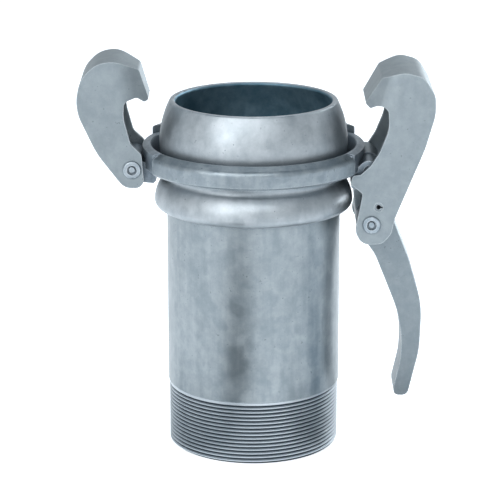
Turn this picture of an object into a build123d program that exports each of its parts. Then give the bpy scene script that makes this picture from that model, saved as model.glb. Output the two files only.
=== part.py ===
"""Ball half of a lever-ring quick coupling for 3 1/2 inch steel pipe, in millimetres.

Z is the axis of the pipe. The origin is the centre of the threaded end face, and the ball
end points up. The plain hook hangs on the -X side, the hook with the hand lever on the +X
side. All pieces are drawn with the coupling closed and the hand lever down.
"""
import math
import os

from build123d import *

# Pipe nipple: 3 1/2 inch tube with a G 3 1/2 thread
TUBE_D = 101.6
TUBE_WALL = 3.6
THREAD_MAJOR_D = 100.33
THREAD_PITCH = 2.309
THREAD_DEPTH = 1.479
THREAD_LENGTH = 36.8
THREAD_FLAT = 0.45
END_CHAMFER = 1.5
CHAMFER_RISE = 0.7
SOCKET_TOP = 155.0

# Ball head: one pressing with a ball, a neck and a collar
SHELL = 3.6
BALL_R = 55.0
BALL_Z = 182.0
MOUTH_Z = 207.5
MOUTH_ROUND = 1.5
COLLAR_R = 58.0
COLLAR_Z = 148.4
COLLAR_UPPER_ARC = 19.0
COLLAR_LOWER_ARC = 4.2
NECK_ARC = 3.0
SEAM_WIDTH = 1.2

# Closing ring: two bands welded to two hinge blocks
RING_R = 65.9
RING_BOTTOM_Z = 169.0
RING_TOP_Z = 181.9
RING_SHOULDER_Z = 178.6
RING_SHOULDER_ROUND = 4.0
REAR_RISE = 4.0
REAR_SHOULDER_DROP = 0.8
REAR_SHOULDER_ROUND = 1.4
RING_TOP_R = 59.8
RING_LIP = 1.8
SEAT_R = 54.2
SEAT_BOTTOM_Z = 167.0
SEAT_TOP_Z = 170.5
SEAT_WIDTH = 4.3
LIP_BEVEL = 0.6
EDGE_BEVEL = 1.2
BLOCK_STEP = 1.1
BLOCK_SHOULDER_DROP = 1.0
JOINT_FRONT_Y = -31.0
JOINT_REAR_Y = 27.0
JOINT_GAP = 1.6
WELD_RECESS = 0.4

# Hooks: channel pressings, with the web on the outside
HOOK_WALL = 3.0
INNER_CORNER = 0.85
NOSE_SLOPE = 0.8
NOSE_ROUND = 18.0
LEFT_HOOK_WIDTH = 40.0
RIGHT_HOOK_WIDTH = 55.0
SIDE_PLAY = 0.4

# Hinges, as (x, z), all with their axes along Y
LEFT_HINGE = (-70.3, 169.8)
RIGHT_HINGE = (66.5, 170.0)
LEVER_HINGE = (68.2, 138.9)
STOP_PIN_AT = (72.1, 149.4)
RUNNING_FIT = 0.06

# Rivets and pins
RIVET_D = 8.0
RIVET_HEAD_D = 10.4
RIVET_HEAD_H = 1.3
RIVET_DIMPLE_D = 5.8
RIVET_DIMPLE_DEPTH = 1.6
RIVET_BUTTON_D = 4.2
RIVET_BUTTON_H = 1.0
KNUCKLE_PIN_D = 6.5
KNUCKLE_PIN_RECESS = 1.2
STOP_PIN_D = 5.0
STOP_PIN_BORE_D = 2.8
STOP_PIN_SLOT = 0.8
STOP_PIN_RECESS = 0.5

# Hinge blocks
KNUCKLE_R = 6.2
KNUCKLE_FRONT_SHARE = 17.4
EYE_WIDTH = 23.0
EYE_R = 7.4
EYE_GAP = 0.5
EYE_ROOM = 0.6
LEFT_BARREL_R = 7.4
LUG_INNER_X = 56.4
LEFT_LUG_BOTTOM_Z = 161.0
RIGHT_LUG_BOTTOM_Z = 158.9

# Hand lever
LEVER_WIDTH = 24.0
LEVER_HUB_R = 8.7
SHANK_GAP = 0.25

# Outlines, as (x, z, corner radius), read clockwise from the top of the nose
RIGHT_HOOK = [
    (73.6, 224.4, 3), (86.0, 228.6, 14), (97.2, 225.6, 10), (103.8, 215.0, 10),
    (104.3, 204.6, 30), (98.4, 184.0, 60), (81.6, 142.6, 16), (79.6, 133.4, 6), (74.6, 127.4, 7),
    (62.8, 127.0, 7), (58.8, 134.6, 7), (62.9, 157.4, 2.5), (55.8, 163.2, 2.5),
    (57.0, 168.2, 2), (61.4, 168.6, 2), (67.2, 173.8, 6), (72.4, 182.0, 12), (77.6, 195.0, 20),
    (77.2, 208.8, 4.5), (70.4, 208.0, 3), (66.9, 206.2, 1.0), (64.0, 208.8, 1.4),
]
LEFT_HOOK = [
    (-66.0, 227.4, 3), (-79.5, 233.6, 16), (-90.5, 231.8, 16), (-99.4, 222.8, 19),
    (-102.0, 210.8, 26), (-100.8, 201.6, 26), (-90.6, 179.4, 60), (-74.8, 158.8, 9),
    (-63.2, 159.0, 5), (-64.8, 179.0, 3), (-71.0, 185.0, 6), (-75.0, 200.0, 20),
    (-74.6, 209.4, 4), (-67.4, 211.6, 3), (-63.2, 208.4, 1.2), (-60.4, 209.3, 1.4),
]
HANDLE = [
    (81.4, 138.6, 1.0), (91.4, 113.4, 70), (99.3, 86.0, 60), (98.3, 58.0, 60),
    (91.6, 29.4, 4.0), (83.6, 29.6, 3.0), (83.4, 34.5, 8), (87.2, 51.0, 50), (87.9, 66.0, 60),
    (84.4, 84.0, 60), (71.2, 117.0, 25), (61.2, 131.0, 6), (64.0, 138.6, 1.0),
]


def side_face(points):
    """Closed outline in the XZ plane with a rounded corner at each point."""
    line = FilletPolyline(*[(x, z) for x, z, _ in points],
                          radius=[radius for _, _, radius in points], close=True)
    return Plane.XZ * make_face(line)


def side_plate(points, y_low, y_high):
    """Plate with a side outline, from y_low to y_high."""
    plate = extrude(side_face(points), amount=y_high - y_low)
    return Pos(0, y_high, 0) * plate


def cross_rod(at, radius, y_low, y_high):
    """Round rod along Y through the point at (x, z)."""
    middle = (y_low + y_high) / 2
    return Pos(at[0], middle, at[1]) * Rot(90, 0, 0) * Cylinder(radius, y_high - y_low)


def cross_box(x_low, x_high, y_low, y_high, z_low, z_high):
    """Box between two corners."""
    size = (x_high - x_low, y_high - y_low, z_high - z_low)
    centre = ((x_low + x_high) / 2, (y_low + y_high) / 2, (z_low + z_high) / 2)
    return Pos(*centre) * Box(*size)


def profile_solid(points):
    """Solid of revolution about Z from an (r, z, corner radius) outline."""
    return revolve(side_face(points), Axis.Z)


def ball_head():
    """Pressed ball end: ball, neck and a collar whose lip closes on the tube."""
    middle_r = BALL_R - SHELL / 2
    upper_r = COLLAR_UPPER_ARC - SHELL / 2
    lower_r = COLLAR_LOWER_ARC - SHELL / 2
    neck_r = NECK_ARC + SHELL / 2
    ball_c = Vector(0, BALL_Z)
    upper_c = Vector(COLLAR_R - COLLAR_UPPER_ARC, COLLAR_Z)
    lower_c = Vector(COLLAR_R - COLLAR_LOWER_ARC, COLLAR_Z)
    between = upper_c - ball_c
    reach_ball = middle_r + neck_r
    reach_collar = upper_r + neck_r
    along = (reach_ball**2 - reach_collar**2 + between.length**2) / (2 * between.length)
    aside = math.sqrt(reach_ball**2 - along**2)
    unit = between.normalized()
    neck_c = ball_c + unit * along + Vector(-unit.Y, unit.X) * aside
    ball_low = ball_c + (neck_c - ball_c).normalized() * middle_r
    collar_high = upper_c + (neck_c - upper_c).normalized() * upper_r
    neck_mid = neck_c - ((neck_c - ball_low) + (neck_c - collar_high)).normalized() * neck_r
    mouth = Vector(math.sqrt(middle_r**2 - (MOUTH_Z + SHELL - BALL_Z)**2), MOUTH_Z + SHELL)
    path = [
        ThreePointArc(mouth, ball_c + Vector(middle_r, 0), ball_low),
        ThreePointArc(ball_low, neck_mid, collar_high),
        ThreePointArc(collar_high, upper_c + Vector(upper_r, 0).rotate(Axis.Z, 15),
                      upper_c + Vector(upper_r, 0)),
        ThreePointArc(upper_c + Vector(upper_r, 0), lower_c + Vector(lower_r, 0).rotate(Axis.Z, -45),
                      lower_c + Vector(0, -lower_r)),
        Line(lower_c + Vector(0, -lower_r), Vector(TUBE_D / 2 - SHELL, lower_c.Y - lower_r)),
    ]
    wall = trace(Curve() + path, line_width=SHELL)
    shell = revolve(Plane.XZ * wall, Axis.Z)
    shell -= Pos(0, 0, MOUTH_Z) * Cylinder(BALL_R, 4 * SHELL, align=(Align.CENTER, Align.CENTER, Align.MIN))
    shell -= Cylinder(TUBE_D / 2, BALL_Z, align=(Align.CENTER, Align.CENTER, Align.MIN))
    rim = shell.edges().filter_by(GeomType.CIRCLE).sort_by(Axis.Z)[-2:]
    return fillet(rim, MOUTH_ROUND)


def ring_section(outer_r, top_z, shoulder_z, shoulder_round):
    """Section of the closing ring, with its seat for the ball at the lower inner edge."""
    return [
        (SEAT_R, SEAT_BOTTOM_Z, 0), (SEAT_R, SEAT_TOP_Z, 0), (RING_TOP_R, top_z - LIP_BEVEL, 0),
        (RING_TOP_R + LIP_BEVEL, top_z, 0), (RING_TOP_R + RING_LIP, top_z, 0),
        (outer_r, shoulder_z, shoulder_round), (outer_r, RING_BOTTOM_Z + EDGE_BEVEL, 0),
        (outer_r - EDGE_BEVEL, RING_BOTTOM_Z, 0), (SEAT_R + SEAT_WIDTH + 1, RING_BOTTOM_Z, 0),
        (SEAT_R + SEAT_WIDTH, SEAT_BOTTOM_Z, 0),
    ]


def ring_slice(section, y_low, y_high):
    """Part of a ring between two planes across Y."""
    reach = 2 * RING_R
    return profile_solid(section) & cross_box(-reach, reach, y_low, y_high, 0, 2 * RING_TOP_Z)


def ring_bands():
    """Front band and the taller rear band of the ring."""
    front = ring_section(RING_R, RING_TOP_Z, RING_SHOULDER_Z, RING_SHOULDER_ROUND)
    rear_top = RING_TOP_Z + REAR_RISE
    rear = ring_section(RING_R, rear_top, rear_top - REAR_SHOULDER_DROP, REAR_SHOULDER_ROUND)
    return ring_slice(front, -2 * RING_R, JOINT_FRONT_Y), ring_slice(rear, JOINT_REAR_Y, 2 * RING_R)


def block_section(inset):
    """Ring section of the hinge blocks, with a square shoulder."""
    top = RING_TOP_Z - inset
    return ring_section(RING_R - BLOCK_STEP - inset, top, top - BLOCK_SHOULDER_DROP, 0)


def ring_welds():
    """Four recessed weld seams between the bands and the hinge blocks."""
    section = block_section(WELD_RECESS)
    front = ring_slice(section, JOINT_FRONT_Y, JOINT_FRONT_Y + JOINT_GAP)
    rear = ring_slice(section, JOINT_REAR_Y - JOINT_GAP, JOINT_REAR_Y)
    return Compound(children=[*front.solids(), *rear.solids()])


def block_body(side):
    """Ring-shaped part of a hinge block, on the +X side for side 1."""
    arc = ring_slice(block_section(0), JOINT_FRONT_Y + JOINT_GAP, JOINT_REAR_Y - JOINT_GAP)
    low, high = sorted((0, side * RING_R))
    return arc & cross_box(low, high, -RING_R, RING_R, 0, 2 * RING_TOP_Z)


def barrel_lug(at, barrel_r, bottom_z, y_low, y_high):
    """Hinge barrel with a root that runs inwards under the ring."""
    side = math.copysign(1, at[0])
    root = [
        (side * LUG_INNER_X, RING_BOTTOM_Z + 2, 0.5), (at[0], at[1] + barrel_r * 0.9, 0.5),
        (at[0], at[1] - barrel_r, 0.5), (side * (LUG_INNER_X + 1.6), bottom_z, 0.8),
        (side * LUG_INNER_X, bottom_z + 1.6, 0.8),
    ]
    return cross_rod(at, barrel_r, y_low, y_high) + side_plate(root, y_low, y_high)


def right_stack():
    """Places along Y of the front knuckle, the lever eye and the rear knuckle."""
    half = RIGHT_HOOK_WIDTH / 2 - HOOK_WALL - SIDE_PLAY
    front_end = -half + KNUCKLE_FRONT_SHARE
    eye = (front_end + EYE_GAP, front_end + EYE_GAP + EYE_WIDTH)
    return (-half, front_end), eye, (eye[1] + EYE_GAP, half)


def hinge_block_right():
    """Hinge block with two knuckles, a pocket for the lever eye and a pin bore."""
    front, eye, rear = right_stack()
    block = block_body(1)
    for low, high in (front, rear):
        block += barrel_lug(RIGHT_HINGE, KNUCKLE_R, RIGHT_LUG_BOTTOM_Z, low, high)
    block -= cross_rod(RIGHT_HINGE, EYE_R + EYE_ROOM, front[1], rear[0])
    block -= cross_rod(RIGHT_HINGE, KNUCKLE_PIN_D / 2, -RING_R, RING_R)
    return block


def hinge_block_left():
    """Hinge block with one barrel that fills the plain hook."""
    half = LEFT_HOOK_WIDTH / 2 - HOOK_WALL - SIDE_PLAY
    block = block_body(-1) + barrel_lug(LEFT_HINGE, LEFT_BARREL_R, LEFT_LUG_BOTTOM_Z, -half, half)
    return block - cross_rod(LEFT_HINGE, RIVET_D / 2 + RUNNING_FIT, -RING_R, RING_R)


def nose_trim(fold_low, fold_high, half_width):
    """Pair of wedges that narrow a nose beyond its fold line, from low to high (x, z)."""
    low, high = Vector(fold_low[0], 0, fold_low[1]), Vector(fold_high[0], 0, fold_high[1])
    along = (high - low).normalized()
    side = math.copysign(1, low.X)
    outward = Vector(-side * abs(along.Z), 0, side * along.X)
    length = (high - low).length
    reach = half_width / NOSE_SLOPE
    plane = Plane(origin=low, x_dir=outward, z_dir=along)
    wedge = make_face(FilletPolyline((-NOSE_ROUND, half_width), (0, half_width), (reach, 0), (2 * reach, 0),
                                     (2 * reach, 2 * half_width), (-NOSE_ROUND, 2 * half_width),
                                     radius=[0, NOSE_ROUND, 0, 0, 0, 0], close=True))
    upper = extrude(plane * wedge, amount=length)
    return upper + mirror(upper, Plane.XZ)


def inset(points, wall):
    """Outline moved inwards by the wall, without the corners that are sharper than the wall."""
    kept = [point for point in points if point[2] >= wall]
    corners = [Vector(x, z) for x, z, _ in kept]
    nexts = corners[1:] + corners[:1]
    turn = math.copysign(1, sum(a.X * b.Y - b.X * a.Y for a, b in zip(corners, nexts)))
    inner = []
    for before, here, after, (_, _, radius) in zip(corners[-1:] + corners, corners, nexts, kept):
        arrive, leave = (here - before).normalized(), (after - here).normalized()
        convex = turn * (arrive.X * leave.Y - arrive.Y * leave.X) > 0
        across = Vector(-arrive.Y - leave.Y, arrive.X + leave.X)
        moved = here + across * (turn * wall / (1 + arrive.dot(leave)))
        inner.append((moved.X, moved.Y, (radius - wall) * INNER_CORNER if convex else radius))
    return inner


def hook_shell(points, width, fold, opening):
    """Channel pressing with its web along the outline and open along the given outlines."""
    half = width / 2
    body = side_plate(points, -half, half) - nose_trim(*fold, half)
    cavity = side_plate(inset(points, HOOK_WALL), -half + HOOK_WALL, half - HOOK_WALL)
    for outline in opening:
        cavity += side_plate(outline, -half + HOOK_WALL, half - HOOK_WALL)
    cavity -= nose_trim(*fold, half - HOOK_WALL)
    return body - cavity


def hook_right():
    """Hook that the hand lever pulls down, open at the back for the lever."""
    half = RIGHT_HOOK_WIDTH / 2
    opening = [
        [(40, 112, 0), (110, 112, 0), (110, 156, 0), (83, 156, 2), (83, 205.5, 3), (40, 205.5, 0)],
    ]
    hook = hook_shell(RIGHT_HOOK, RIGHT_HOOK_WIDTH, ((73.0, 194.0), (83.0, 231.0)), opening)
    hook -= cross_rod(LEVER_HINGE, RIVET_D / 2, -half, half)
    return hook - cross_rod(STOP_PIN_AT, STOP_PIN_D / 2, -half, half)


def hook_left():
    """Plain hook, hinged straight on its block."""
    half = LEFT_HOOK_WIDTH / 2
    opening = [
        [(-40, 150, 0), (-78.5, 150, 0), (-82, 172, 4), (-82, 206.5, 3), (-40, 206.5, 0)],
    ]
    hook = hook_shell(LEFT_HOOK, LEFT_HOOK_WIDTH, ((-71.5, 200.0), (-77.0, 236.0)), opening)
    return hook - cross_rod(LEFT_HINGE, RIVET_D / 2, -half, half)


def formed_rivet(at, width):
    """Rivet across a hook, with a dimpled head at both ends."""
    half = width / 2
    rivet = cross_rod(at, RIVET_D / 2, -half, half)
    for side in (-1, 1):
        low, high = sorted((side * half, side * (half + RIVET_HEAD_H)))
        head = cross_rod(at, RIVET_HEAD_D / 2, low, high)
        outer = head.edges().filter_by(GeomType.CIRCLE).sort_by(Axis.Y)[0 if side < 0 else -1]
        rivet += fillet(outer, RIVET_HEAD_H * 0.6)
        face = side * (half + RIVET_HEAD_H)
        low, high = sorted((face, face - side * RIVET_DIMPLE_DEPTH))
        rivet -= cross_rod(at, RIVET_DIMPLE_D / 2, low, high)
        floor_y = face - side * RIVET_DIMPLE_DEPTH
        low, high = sorted((floor_y - side, floor_y + side * RIVET_BUTTON_H))
        button = cross_rod(at, RIVET_BUTTON_D / 2, low, high)
        outer = button.edges().filter_by(GeomType.CIRCLE).sort_by(Axis.Y)[0 if side < 0 else -1]
        rivet += fillet(outer, RIVET_BUTTON_H * 0.8)
    return rivet


def knuckle_pin():
    """Hinge pin of the lever, fixed in both knuckles."""
    front, _, rear = right_stack()
    return cross_rod(RIGHT_HINGE, KNUCKLE_PIN_D / 2, front[0] + KNUCKLE_PIN_RECESS, rear[1] - KNUCKLE_PIN_RECESS)


def stop_pin():
    """Slotted spring pin across the hook, where the lever comes to rest."""
    half = RIGHT_HOOK_WIDTH / 2 - STOP_PIN_RECESS
    x, z = STOP_PIN_AT
    pin = cross_rod(STOP_PIN_AT, STOP_PIN_D / 2, -half, half)
    pin -= cross_rod(STOP_PIN_AT, STOP_PIN_BORE_D / 2, -half, half)
    return pin - cross_box(x, x + STOP_PIN_D, -half, half, z - STOP_PIN_SLOT / 2, z + STOP_PIN_SLOT / 2)


def hand_lever():
    """Forged lever: eye, shank, hub and a curved handle."""
    _, eye, _ = right_stack()
    half = LEVER_WIDTH / 2
    shank_x = STOP_PIN_AT[0] - STOP_PIN_D / 2 - SHANK_GAP
    shank = [
        (RIGHT_HINGE[0] - KNUCKLE_R, RIGHT_HINGE[1], 0), (RIGHT_HINGE[0] + KNUCKLE_R - 1.0, RIGHT_HINGE[1], 0),
        (shank_x, 158.0, 8), (shank_x, LEVER_HINGE[1], 0), (LEVER_HINGE[0] - LEVER_HUB_R + 0.6, LEVER_HINGE[1], 0),
        (58.4, 157.6, 8),
    ]
    handle = side_plate(HANDLE, -half, half)
    hub_half = RIGHT_HOOK_WIDTH / 2 - HOOK_WALL - SIDE_PLAY
    lever = handle + cross_rod(LEVER_HINGE, LEVER_HUB_R, -hub_half, hub_half)
    lever += side_plate(shank, *eye) + cross_rod(RIGHT_HINGE, EYE_R, *eye)
    lever -= cross_rod(RIGHT_HINGE, KNUCKLE_PIN_D / 2 + RUNNING_FIT, *eye)
    return lever - cross_rod(LEVER_HINGE, RIVET_D / 2 + RUNNING_FIT, -hub_half, hub_half)


def thread_groove():
    """Helical V groove of the pipe thread, with a run-in below the end face."""
    run_in = 1.5 * THREAD_PITCH
    helix = Pos(0, 0, -run_in) * Helix(THREAD_PITCH, THREAD_LENGTH + run_in, THREAD_MAJOR_D / 2)
    slope = math.tan(math.radians(27.5))
    over = 0.3
    root = THREAD_PITCH / 2 - THREAD_DEPTH * slope - THREAD_FLAT / 2
    top = root + (THREAD_DEPTH + over) * slope
    plane = Plane(origin=helix @ 0, x_dir=(1, 0, 0), z_dir=helix % 0)
    vee = make_face(Polyline((-THREAD_DEPTH, -root), (-THREAD_DEPTH, root), (over, top), (over, -top), close=True))
    return sweep(plane * vee, path=helix, is_frenet=True)


def threaded_nipple():
    """Length of tube with an outside pipe thread on its lower end."""
    bore_r = TUBE_D / 2 - TUBE_WALL
    below = 4 * THREAD_PITCH
    step = (TUBE_D - THREAD_MAJOR_D) / 2
    blank = [
        (bore_r, -below, 0), (bore_r, SOCKET_TOP, 0), (TUBE_D / 2, SOCKET_TOP, 1.0),
        (TUBE_D / 2, THREAD_LENGTH + 2 * step, 0), (THREAD_MAJOR_D / 2, THREAD_LENGTH + step, 0),
        (THREAD_MAJOR_D / 2, -below, 0),
    ]
    tube = profile_solid(blank) - thread_groove()
    cone = [
        (bore_r - 1, -below - 1, 0), (bore_r - 1, 0, 0), (THREAD_MAJOR_D / 2 - END_CHAMFER, 0, 0),
        (THREAD_MAJOR_D / 2 + 1, (END_CHAMFER + 1) * CHAMFER_RISE, 0), (THREAD_MAJOR_D / 2 + 1, -below - 1, 0),
    ]
    return tube - profile_solid(cone)


def nipple_weld():
    """Seam that closes the lip of the collar on the tube."""
    lip_z = COLLAR_Z - COLLAR_LOWER_ARC
    seam = [
        (TUBE_D / 2, lip_z, 0), (TUBE_D / 2 + SEAM_WIDTH, lip_z, 0.2), (TUBE_D / 2, lip_z - SEAM_WIDTH, 0),
    ]
    return profile_solid(seam)


def main():
    """Build every piece and write one STEP file for each."""
    front, rear = ring_bands()
    pieces = {
        "ball_head": ball_head(), "threaded_nipple": threaded_nipple(), "nipple_weld": nipple_weld(),
        "ring_band_front": front, "ring_band_rear": rear, "ring_welds": ring_welds(),
        "hinge_block_left": hinge_block_left(), "hinge_block_right": hinge_block_right(),
        "hook_left": hook_left(), "hook_left_rivet": formed_rivet(LEFT_HINGE, LEFT_HOOK_WIDTH),
        "hook_right": hook_right(), "lever_rivet": formed_rivet(LEVER_HINGE, RIGHT_HOOK_WIDTH),
        "stop_pin": stop_pin(), "hand_lever": hand_lever(), "knuckle_pin": knuckle_pin(),
    }
    os.makedirs("parts", exist_ok=True)
    for name, piece in pieces.items():
        export_step(piece, f"parts/{name}.step")


main()
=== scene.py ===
"""Ball half of a lever-ring quick coupling, hot-dip galvanised, standing on a pale studio floor."""
import math

import bmesh
import bpy
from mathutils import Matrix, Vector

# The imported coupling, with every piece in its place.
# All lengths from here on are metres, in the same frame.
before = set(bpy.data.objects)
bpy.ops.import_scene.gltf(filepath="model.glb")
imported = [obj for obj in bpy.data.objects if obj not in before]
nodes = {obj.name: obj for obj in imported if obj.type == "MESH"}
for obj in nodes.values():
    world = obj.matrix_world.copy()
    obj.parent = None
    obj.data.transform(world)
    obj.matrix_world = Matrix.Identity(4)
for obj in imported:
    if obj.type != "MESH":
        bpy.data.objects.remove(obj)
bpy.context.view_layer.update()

# The camera: a long lens far back, so that the pipe looks nearly straight.
# It looks down a little, and so sees into the mouth of the ball.
view_distance = 1.4185
view_down_angle = math.radians(16)
aim_height = 0.116
aim_side = -0.0021
camera = bpy.data.objects.new("camera", bpy.data.cameras.new("camera"))
bpy.context.scene.collection.objects.link(camera)
camera.data.sensor_width = 36
camera.data.lens = 172.56
camera.data.clip_start = 0.05
camera.location = (
    aim_side,
    -view_distance * math.cos(view_down_angle),
    aim_height + view_distance * math.sin(view_down_angle),
)
camera.rotation_euler = (math.pi / 2 - view_down_angle, 0, 0)
bpy.context.scene.camera = camera

# The studio: a white floor that carries on far past the view, in a room with pale walls and a
# darker ceiling. Soft boxes draw long highlights down the round steel, and dark cards on the
# floor, which only the steel mirrors, draw its stripes.
bpy.context.scene.view_settings.view_transform = "Standard"


class Wire:
    """One output of a node, which joins others in plain sums and products."""

    def __init__(self, tree, socket=None):
        self.tree, self.socket = tree, socket

    def node(self, kind, settings=None, inputs=None, out=0):
        """New node with its settings, such as a ramp's stops, then the values or wires of its sockets."""
        made = self.tree.nodes.new(kind)
        for key, value in (settings or {}).items():
            if key == "stops":
                for element, (position, colour) in zip(made.color_ramp.elements, value):
                    element.position, element.color = position, (*colour, 1)
            else:
                setattr(made, key, value)
        for key, value in (inputs or {}).items():
            if isinstance(value, Wire):
                value.feed(made.inputs[key])
            else:
                made.inputs[key].default_value = value
        return Wire(self.tree, made.outputs[out])

    def feed(self, socket):
        """Joins this output to a socket."""
        self.tree.links.new(self.socket, socket)

    def maths(self, operation, first, second=0.0):
        return self.node("ShaderNodeMath", {"operation": operation}, {0: first, 1: second})

    def __add__(self, other):
        return self.maths("ADD", self, other)

    def __sub__(self, other):
        return self.maths("SUBTRACT", self, other)

    def __rsub__(self, other):
        return self.maths("SUBTRACT", other, self)

    def __mul__(self, other):
        return self.maths("MULTIPLY", self, other)

    __radd__, __rmul__ = __add__, __mul__

    def rise(self, low, high):
        """0 below low, 1 above high, and a smooth rise between."""
        settings = {"interpolation_type": "SMOOTHSTEP"}
        return self.node("ShaderNodeMapRange", settings, {"Value": self, "From Min": low, "From Max": high})

    def tint(self, under, over):
        """Colour that goes from under to over as this wire goes from 0 to 1."""
        under, over = (tone if isinstance(tone, Wire) else (*tone, 1) for tone in (under, over))
        return self.node("ShaderNodeMix", {"data_type": "RGBA"}, {0: self, 6: under, 7: over}, out=2)


pale_wall, grey_ceiling = (0.90, 0.93, 0.95), (0.27, 0.34, 0.40)
white_room = bpy.data.worlds.new("white_room")
white_room.use_nodes = True
bpy.context.scene.world = white_room
room_light = white_room.node_tree.nodes["Background"]
room_light.inputs["Strength"].default_value = 0.8
room = Wire(white_room.node_tree)
direction = room.node("ShaderNodeTexCoord", out="Generated")
upward = room.node("ShaderNodeSeparateXYZ", inputs={0: direction}, out="Z")
wall_to_ceiling = {"stops": [(0.30, pale_wall), (0.75, grey_ceiling)]}
room.node("ShaderNodeValToRGB", wall_to_ceiling, {"Fac": upward}).feed(room_light.inputs["Color"])


def flat_card(name, place, length, width, colour, turn=0.0, glow=0.0, far_width=None):
    """Flat card lying at a height, painted one plain tone, and wider at its far end if asked."""
    mesh = bpy.data.meshes.new(name)
    build = bmesh.new()
    bmesh.ops.create_grid(build, x_segments=8, y_segments=8, size=0.5)
    for corner in build.verts:
        across = width + ((far_width or width) - width) * (corner.co.x + 0.5)
        corner.co.x, corner.co.y = corner.co.x * length, corner.co.y * across
    build.to_mesh(mesh)
    build.free()
    card = bpy.data.objects.new(name, mesh)
    card.location, card.rotation_euler.z = place, turn
    bpy.context.scene.collection.objects.link(card)
    paint = bpy.data.materials.new(name)
    paint.use_nodes = True
    shader = paint.node_tree.nodes["Principled BSDF"]
    shader.inputs["Base Color"].default_value = (*colour, 1)
    shader.inputs["Roughness"].default_value = 0.8
    shader.inputs["Specular IOR Level"].default_value = 0.0
    shader.inputs["Emission Color"].default_value = (*colour, 1)
    shader.inputs["Emission Strength"].default_value = glow
    mesh.materials.append(paint)
    return card


floor_side, floor_height = 14, -0.0002
flat_card("studio_floor", (0, 0, floor_height), floor_side, floor_side, (0.93, 0.95, 0.97), glow=0.62)

# The cards lie between these distances from the pipe's axis. Those near its foot show only in
# the thread, and those that start further out show in the tube above it.
pipe_foot, thread_reach, tube_start, tube_reach = 0.056, 0.12, 0.135, 0.516


def dark_card(name, azimuth, spread, tone, start, end):
    """Wedge on the floor that points at the pipe and shows only as a dark stripe in the steel."""
    azimuth, spread = math.radians(azimuth), math.radians(spread)
    middle, height = (start + end) / 2, 0.0004
    place = (math.sin(azimuth) * middle, -math.cos(azimuth) * middle, height)
    slope = 2 * math.tan(spread / 2)
    card = flat_card(name, place, end - start, start * slope, tone, azimuth - math.pi / 2,
                     far_width=end * slope)
    card.visible_camera = card.visible_diffuse = card.visible_shadow = False


dark_card("stripe_card_left", -19, 31, (0.02, 0.04, 0.05), tube_start, tube_reach)
dark_card("stripe_card_right", 80, 20, (0.22, 0.34, 0.44), thread_reach, tube_reach)
dark_card("thread_card_right", 82, 84, (0.02, 0.04, 0.06), pipe_foot, thread_reach)
dark_card("thread_card_left", -62, 84, (0.52, 0.58, 0.62), pipe_foot, thread_reach)


def soft_box(name, place, width, height, power, aim_height=0.12, tint=(1, 1, 1)):
    """Square lamp at a place, turned to the height on the pipe's axis that it lights."""
    lamp = bpy.data.lights.new(name, "AREA")
    lamp.shape, lamp.size, lamp.size_y = "RECTANGLE", width, height
    lamp.energy, lamp.color = power, tint
    holder = bpy.data.objects.new(name, lamp)
    bpy.context.scene.collection.objects.link(holder)
    holder.location = place
    to_pipe = Vector((0, 0, aim_height)) - Vector(place)
    holder.rotation_euler = to_pipe.to_track_quat("-Z", "Y").to_euler()


soft_box("key_box", (-0.75, -1.00, 0.75), 0.4, 0.8, 7.0)
soft_box("shoulder_box", (0.05, -1.25, 1.05), 1.0, 0.16, 6.0, aim_height=0.18)
soft_box("edge_box", (0.95, 0.75, 0.35), 0.5, 1.0, 14.0, tint=(0.95, 0.98, 1.0))
soft_box("top_box", (0, 0.5, 1.6), 0.8, 0.8, 5.0)

# The pipe nipple: a length of seamless 3 1/2 inch steel tube, hot-dip galvanised, on whose upper
# end the collar of the ball head closes. A pipe thread is cut on its lower end last of all, so
# the thread is bare steel, with its roots painted near black as shade.


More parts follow.
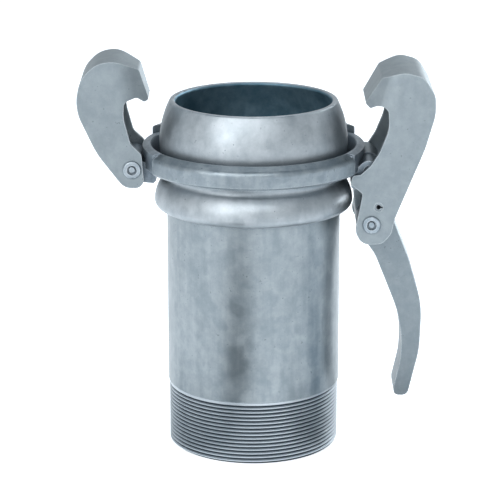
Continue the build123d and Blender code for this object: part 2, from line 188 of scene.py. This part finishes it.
class Zinc:
    """Hot-dip galvanised skin: cloudy zinc with crystals, runs and specks, with painted shade in corners and
    painted highlights on edges.
    """

    def __init__(self, name, light=(0.52, 0.57, 0.61), dark=(0.27, 0.32, 0.36), crystal=0.006,
                 roughness=0.44, grain=0.25, runs=0.2, corner_shade_strength=0.7, clouds=0.4):
        self.material = bpy.data.materials.new(name)
        self.material.use_nodes = True
        self.shader = self.material.node_tree.nodes["Principled BSDF"]
        self.shader.inputs["Metallic"].default_value = 0.85
        self.start = Wire(self.material.node_tree)
        self.place = self.start.node("ShaderNodeTexCoord", out="Object")
        x, y, self.z = (self.start.node("ShaderNodeSeparateXYZ", inputs={0: self.place}, out=axis)
                        for axis in "XYZ")
        self.axis_distance = self.start.maths("SQRT", x * x + y * y)

        cloud = self.noise(38, 4, 0.6)
        self.mottle = self.noise(150, 5, 0.65)
        self.grain = self.noise(900, 3, 0.7)
        flake = self.flakes(crystal)
        clouded = (cloud - 0.5) * clouds + self.mottle * 0.55 + flake * 0.16
        tone = clouded + (self.trickles() - 0.5) * runs + self.grain * 0.18
        self.tone = tone.rise(0.20, 0.74)
        self.colour = self.tone.tint(dark, light)

        # Painted shade: the colour darkens in corners and gaps, as strongly as the argument asks.
        corner_shade = self.paint_corner_shade(corner_shade_strength)
        self.scatter_specks()
        # Painted highlight: the colour lightens along the edges.
        edge_highlight = self.paint_edge_highlight()
        dull = (cloud - 0.5) * 0.08 + (flake - 0.5) * 0.10 + corner_shade * 0.15
        self.rough = roughness + dull - edge_highlight * 0.12
        pits = self.noise(420, 2, 0.5).rise(0.62, 0.75)
        self.relief = self.mottle * 0.5 + self.grain * grain + pits * -0.35 + flake * 0.10

    def noise(self, scale, detail, roughness, place=None, out="Fac"):
        """Cloudy noise with so many lumps to the metre."""
        return self.start.node("ShaderNodeTexNoise", inputs={
            "Vector": place or self.place, "Scale": scale, "Detail": detail, "Roughness": roughness}, out=out)

    def flakes(self, crystal):
        """Faint zinc crystals of the size given, with wandering borders, each with its own tone."""
        border_wander = 0.004
        wander = self.start.node("ShaderNodeVectorMath", {"operation": "MULTIPLY_ADD"}, {
            0: self.noise(260, 2, 0.5, out="Color"), 1: (border_wander,) * 3, 2: self.place})
        colours = self.start.node("ShaderNodeTexVoronoi", {"feature": "SMOOTH_F1"}, {
            "Vector": wander, "Scale": 1 / crystal, "Smoothness": 0.35}, out="Color")
        return self.start.node("ShaderNodeSeparateColor", inputs={0: colours})

    def trickles(self):
        """Runs left where the molten zinc drained down, ten times as tall as wide."""
        tall = self.start.node("ShaderNodeVectorMath", {"operation": "MULTIPLY"}, {
            0: self.place, 1: (1.0, 1.0, 0.10)})
        return self.noise(240, 3, 0.55, place=tall)

    def paint_corner_shade(self, corner_shade_strength):
        """Painted shade: the colour darkens in corners and gaps, found by ambient occlusion."""
        openness = self.start.node("ShaderNodeAmbientOcclusion", {"samples": 6}, {"Distance": 0.007}, out="AO")
        corner = 1 - openness.rise(0.25, 0.95)
        corner_shade = (corner * corner_shade_strength * (0.6 + self.mottle * 0.8)).rise(0.0, 1.0)
        self.colour = corner_shade.tint(self.colour, (0.11, 0.14, 0.17))
        return corner_shade

    def scatter_specks(self):
        """Small dark specks of dross, in loose groups."""
        speck = self.noise(620, 1, 0.4).rise(0.70, 0.76) * self.mottle.rise(0.45, 0.62)
        self.colour = (speck * 0.55).tint(self.colour, (0.07, 0.09, 0.11))

    def paint_edge_highlight(self):
        """Painted highlight: the colour lightens along edges, found where a rounded normal leaves the flat
        one.
        """
        round_normal = self.start.node("ShaderNodeBevel", {"samples": 4}, {"Radius": 0.0011})
        flat_normal = self.start.node("ShaderNodeNewGeometry", out="True Normal")
        agreement = self.start.node("ShaderNodeVectorMath", {"operation": "DOT_PRODUCT"}, {
            0: round_normal, 1: flat_normal}, out="Value")
        edge_highlight = (1 - agreement).rise(0.015, 0.22) * (0.35 + self.grain)
        self.colour = (edge_highlight * 0.6).tint(self.colour, (0.72, 0.77, 0.80))
        return edge_highlight

    def paint(self, *pieces, depth=0.00012):
        """Joins the finish to its shader, with relief of the depth given, and lays it on the pieces."""
        self.colour.feed(self.shader.inputs["Base Color"])
        self.rough.feed(self.shader.inputs["Roughness"])
        bump = {"Height": self.relief, "Distance": depth, "Strength": 0.6}
        self.start.node("ShaderNodeBump", inputs=bump).feed(self.shader.inputs["Normal"])
        for piece in pieces:
            nodes[piece].data.materials.clear()
            nodes[piece].data.materials.append(self.material)


thread_top = 0.0372
crest_radius = 0.0496
thread_root_shade, crest_steel = (0.06, 0.08, 0.10), (0.52, 0.57, 0.61)
tube_skin = Zinc("galvanised_tube", light=(0.345, 0.385, 0.41), dark=(0.215, 0.255, 0.28), runs=0.35,
                 crystal=0.009, roughness=0.37, clouds=0.35)
cut = 1 - tube_skin.z.rise(thread_top, thread_top + 0.0008)
crest = tube_skin.axis_distance.rise(crest_radius - 0.0009, crest_radius + 0.0003)
# Painted shade: the roots of the thread are near black, and the crests are bare steel.
tube_skin.colour = cut.tint(tube_skin.colour, crest.tint(thread_root_shade, crest_steel))
tube_skin.rough = tube_skin.rough + cut * 0.08
tube_skin.paint("threaded_nipple")

# The ball head: one deep pressing with the ball, its neck and the collar for the ring.
# It is dipped inside and out and closed on the tube; the inside is a little rougher, and painted shade colours
# it darker blue-grey.
ball_centre_height = 0.182
inner_radius = 0.0530
neck_bottom = 0.14
inside_shade_dark, inside_shade_light = (0.08, 0.17, 0.23), (0.20, 0.31, 0.38)
ball_skin = Zinc("galvanised_ball", light=(0.47, 0.51, 0.54), dark=(0.31, 0.35, 0.38), crystal=0.008,
                 roughness=0.46, runs=0.15)
above = ball_skin.z - ball_centre_height
from_centre = above.maths("SQRT", above * above + ball_skin.axis_distance * ball_skin.axis_distance)
within_ball = 1 - from_centre.rise(inner_radius - 0.001, inner_radius)
ball_inside_shade = within_ball * ball_skin.z.rise(neck_bottom, neck_bottom + 0.002)
# Painted shade: the inside of the ball is coloured darker blue-grey.
ball_skin.colour = ball_inside_shade.tint(ball_skin.colour, ball_skin.tone.tint(inside_shade_dark, inside_shade_light))
ball_skin.rough = ball_skin.rough + ball_inside_shade * 0.1
ball_skin.paint("ball_head")

# The seam weld where the collar's lip closes on the tube: a thin bead of weld metal.
# It runs all the way round, and is dipped with the pieces that it joins.
seam_skin = Zinc("galvanised_seam", roughness=0.5, grain=0.6, corner_shade_strength=0.8)
seam_skin.paint("nipple_weld", depth=0.0004)

# The closing ring: two forged steel bands welded to two hinge blocks, loose round the neck.
# The forgings are coarser than the pressings and hold a thicker, lumpier zinc, and painted shade
# darkens the corners of the blocks and round the weld beads.
ring_skin = Zinc("galvanised_ring", light=(0.34, 0.385, 0.415), dark=(0.20, 0.24, 0.27), crystal=0.005,
                 roughness=0.44, grain=0.45, clouds=0.3)
ring_skin.paint("ring_band_front", "ring_band_rear", depth=0.0003)
block_skin = Zinc("galvanised_block", light=(0.38, 0.43, 0.47), dark=(0.17, 0.21, 0.25), crystal=0.004,
                  roughness=0.44, grain=0.6, corner_shade_strength=0.9)
block_skin.paint("hinge_block_left", "hinge_block_right", depth=0.0005)
ring_seam_skin = Zinc("galvanised_ring_seam", light=(0.36, 0.41, 0.45), dark=(0.14, 0.18, 0.22),
                      roughness=0.5, grain=0.8, corner_shade_strength=1.0)
ring_seam_skin.paint("ring_welds", depth=0.0008)

# The two hooks: channel pressings of 3 mm sheet steel, bent over at the back and drawn in to a
# nose. Each hangs on a rivet through its cheeks, and the sheet is smoother than the forgings.
sheet_edge_round = 0.0009


def soften(piece, width):
    """Rounds the sharp edges of a piece, as pressing, tumbling and dipping leave them."""
    join = nodes[piece].modifiers.new("join", "WELD")
    join.merge_threshold = 0.00001
    edge = nodes[piece].modifiers.new("edge", "BEVEL")
    edge.width, edge.segments = width, 3
    edge.limit_method, edge.angle_limit = "ANGLE", math.radians(35)
    even = nodes[piece].modifiers.new("even_shade", "WEIGHTED_NORMAL")
    even.keep_sharp = False


hook_skin = Zinc("galvanised_hook", light=(0.335, 0.38, 0.405), dark=(0.245, 0.285, 0.31), crystal=0.007,
                 roughness=0.54, grain=0.3, runs=0.15, clouds=0.2)
hook_skin.paint("hook_left", "hook_right", depth=0.00018)
soften("hook_left", sheet_edge_round)
soften("hook_right", sheet_edge_round)

# The hand lever: a steel forging with its eye, hub and curved handle in one.
# It turns on the knuckle pin, and its edges are well rounded for the hand.
handle_edge_round = 0.0018
lever_skin = Zinc("galvanised_lever", light=(0.28, 0.32, 0.345), dark=(0.20, 0.24, 0.265), crystal=0.006,
                  roughness=0.46, grain=0.4, clouds=0.2)
lever_skin.paint("hand_lever", depth=0.0003)
soften("hand_lever", handle_edge_round)

# The rivets: plain steel, their heads formed with a dimpling punch, and dipped with the rest.
# One carries the plain hook on its block, the other the second hook on the lever's hub.
pin_skin = Zinc("galvanised_pin", light=(0.48, 0.53, 0.57), dark=(0.24, 0.29, 0.33), crystal=0.003,
                roughness=0.34, corner_shade_strength=1.0)
pin_skin.paint("hook_left_rivet", "lever_rivet")

# The knuckle pin, and the slotted spring pin that stops the lever: hard, oiled spring steel.
# They are driven in after dipping, so they stay darker than the zinc round them.
spring_skin = Zinc("oiled_spring_steel", light=(0.27, 0.31, 0.34), dark=(0.12, 0.15, 0.17), crystal=0.003,
                   roughness=0.36, corner_shade_strength=0.8)
spring_skin.paint("stop_pin", "knuckle_pin")
